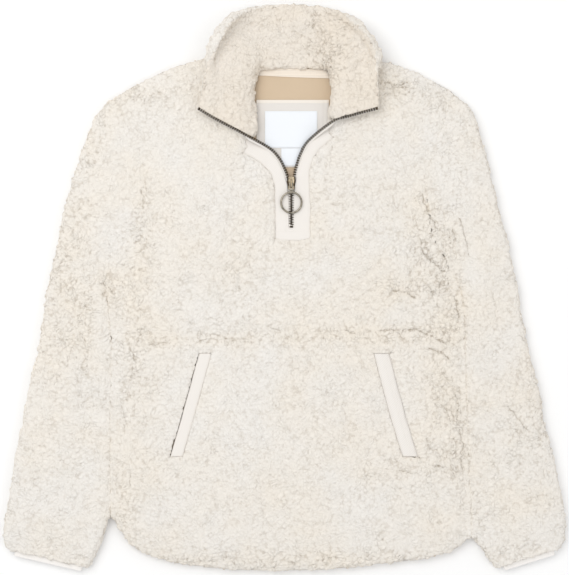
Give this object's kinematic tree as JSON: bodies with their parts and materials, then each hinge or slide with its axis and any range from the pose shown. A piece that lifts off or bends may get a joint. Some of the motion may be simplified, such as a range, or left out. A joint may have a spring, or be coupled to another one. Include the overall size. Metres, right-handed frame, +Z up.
{
  "type": "sherpa fleece half-zip pullover",
  "caption": "Half-zip pullover in cream sherpa fleece, laid flat on its back with the stand collar open, slanted welt pockets, a shirt-tail hem and a ring zip pull.",
  "frame": {"origin": "on the floor under the middle of the garment's outline as it lies", "axes": "+Z up out of the front as it lies on its back, +Y from the hem to the collar, +X towards the viewer's right, which is the wearer's left sleeve"},
  "size_m": [0.721, 0.7273, 0.044],
  "materials": {
    "cream_sherpa": "deep curled pile",
    "cream_twill": "smooth brushed twill",
    "white_woven": "woven label",
    "tan_knit": "plain knit",
    "dark_brass": "dark antique"
  },
  "bodies": {
    "garment": {"back": "cream_sherpa", "front_upper": "cream_sherpa", "front_lower": "cream_sherpa", "sleeve_left": "cream_sherpa", "sleeve_right": "cream_sherpa", "cuff_band_left": "cream_twill", "cuff_band_right": "cream_twill", "collar_outer": "cream_sherpa", "collar_lining": "cream_sherpa", "neck_tape": "cream_twill", "label_patch": "cream_twill", "label": "white_woven", "size_tab": "white_woven", "placket": "cream_twill", "zip_teeth_left": "dark_brass", "zip_teeth_right": "dark_brass", "zip_teeth_closed": "dark_brass", "slider": "dark_brass", "pocket_welt_left": "cream_twill", "pocket_welt_right": "cream_twill", "pocket_bag_left": "tan_knit", "pocket_bag_right": "tan_knit"},
    "link": {"pull_link": "dark_brass"},
    "ring": {"pull_ring": "dark_brass"}
  },
  "joints": [
    {"name": "link_hinge", "type": "hinge", "parent": "garment", "child": "link", "pos_m": [0.0083, 0.1336, 0.0158], "axis": [-1, 0, 0], "range_deg": [0, 110]},
    {"name": "ring_hinge", "type": "hinge", "parent": "link", "child": "ring", "pos_m": [0.0083, 0.1221, 0.0158], "axis": [-1, 0, 0], "range_deg": [0, 55]}
  ]
}
